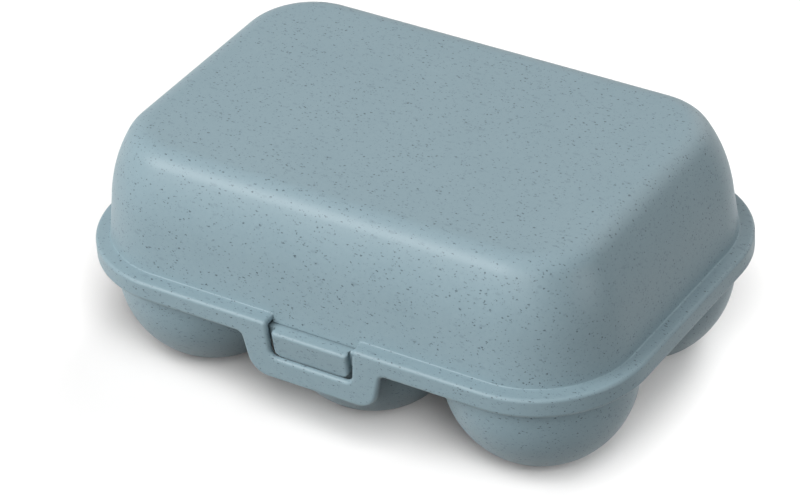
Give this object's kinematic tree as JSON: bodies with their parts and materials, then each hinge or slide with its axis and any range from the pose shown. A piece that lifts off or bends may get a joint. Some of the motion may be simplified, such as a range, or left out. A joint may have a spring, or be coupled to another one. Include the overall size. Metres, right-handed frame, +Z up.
{
  "type": "egg box",
  "caption": "Egg box with a tray of round cups, a domed lid hinged along the back, and a springy front latch flap whose window snaps over a tongue on the tray.",
  "frame": {"origin": "on the plane of the cups' feet, under the middle of the closed box and its hinge barrels", "axes": "+X along the box, -Y towards the front with the latch, +Z up"},
  "size_m": [0.154, 0.1124, 0.0658],
  "materials": {
    "tray": "satin-matt moulded plastic, grey-blue, with sparse fine dark flecks",
    "lid": "satin-matt moulded plastic, grey-blue, with sparse fine dark flecks",
    "latch_flap": "satin-matt moulded plastic, grey-blue, with sparse fine dark flecks"
  },
  "bodies": {
    "tray_body": {"tray": "tray"},
    "lid_body": {"lid": "lid"},
    "latch_body": {"latch_flap": "latch_flap"}
  },
  "joints": [
    {"name": "lid_hinge", "type": "hinge", "parent": "tray_body", "child": "lid_body", "pos_m": [0, 0.0533, 0.0286], "axis": [-1, 0, 0], "range_deg": [0, 100]},
    {"name": "latch_flex", "type": "hinge", "parent": "lid_body", "child": "latch_body", "pos_m": [0, -0.0562, 0.0294], "axis": [-1, 0, 0], "range_deg": [0, 22], "stiffness_Nm_per_rad": 0.1}
  ]
}
